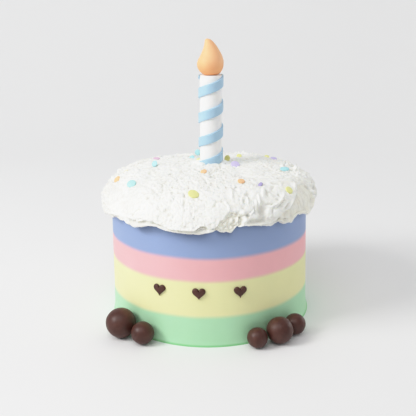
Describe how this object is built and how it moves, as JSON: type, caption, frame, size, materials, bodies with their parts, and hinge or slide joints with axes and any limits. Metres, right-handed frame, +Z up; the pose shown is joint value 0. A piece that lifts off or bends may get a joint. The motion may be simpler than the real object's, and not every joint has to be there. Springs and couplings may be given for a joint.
{
  "type": "birthday cake",
  "caption": "Round pastel-striped birthday cake with a domed whipped cream cap, confetti, one striped sugar candle with a flame, chocolate hearts and truffles.",
  "frame": {"origin": "centre of the cake's flat underside", "axes": "+Z up through the candle, front of the cake towards -Y, +X to the right seen from the front"},
  "size_m": [0.1757, 0.1781, 0.2206],
  "materials": {
    "green_frosting": "smooth matte",
    "yellow_frosting": "smooth matte",
    "pink_frosting": "smooth matte",
    "blue_frosting": "smooth matte",
    "whipped_cream": "rough whipped",
    "white_sugar_paste": "satin",
    "blue_sugar_paste": "satin",
    "orange_sugar_paste": "satin",
    "dark_chocolate": "soft gloss"
  },
  "bodies": {
    "root": {"band_green": "green_frosting", "band_yellow": "yellow_frosting", "band_pink": "pink_frosting", "band_blue": "blue_frosting", "cream": "whipped_cream", "candle_stick": "white_sugar_paste", "candle_ribbon": "blue_sugar_paste", "flame": "orange_sugar_paste", "heart_1": "dark_chocolate", "heart_2": "dark_chocolate", "heart_3": "dark_chocolate", "truffle_1": "dark_chocolate", "truffle_2": "dark_chocolate", "truffle_3": "dark_chocolate", "truffle_4": "dark_chocolate", "truffle_5": "dark_chocolate"}
  },
  "joints": []
}
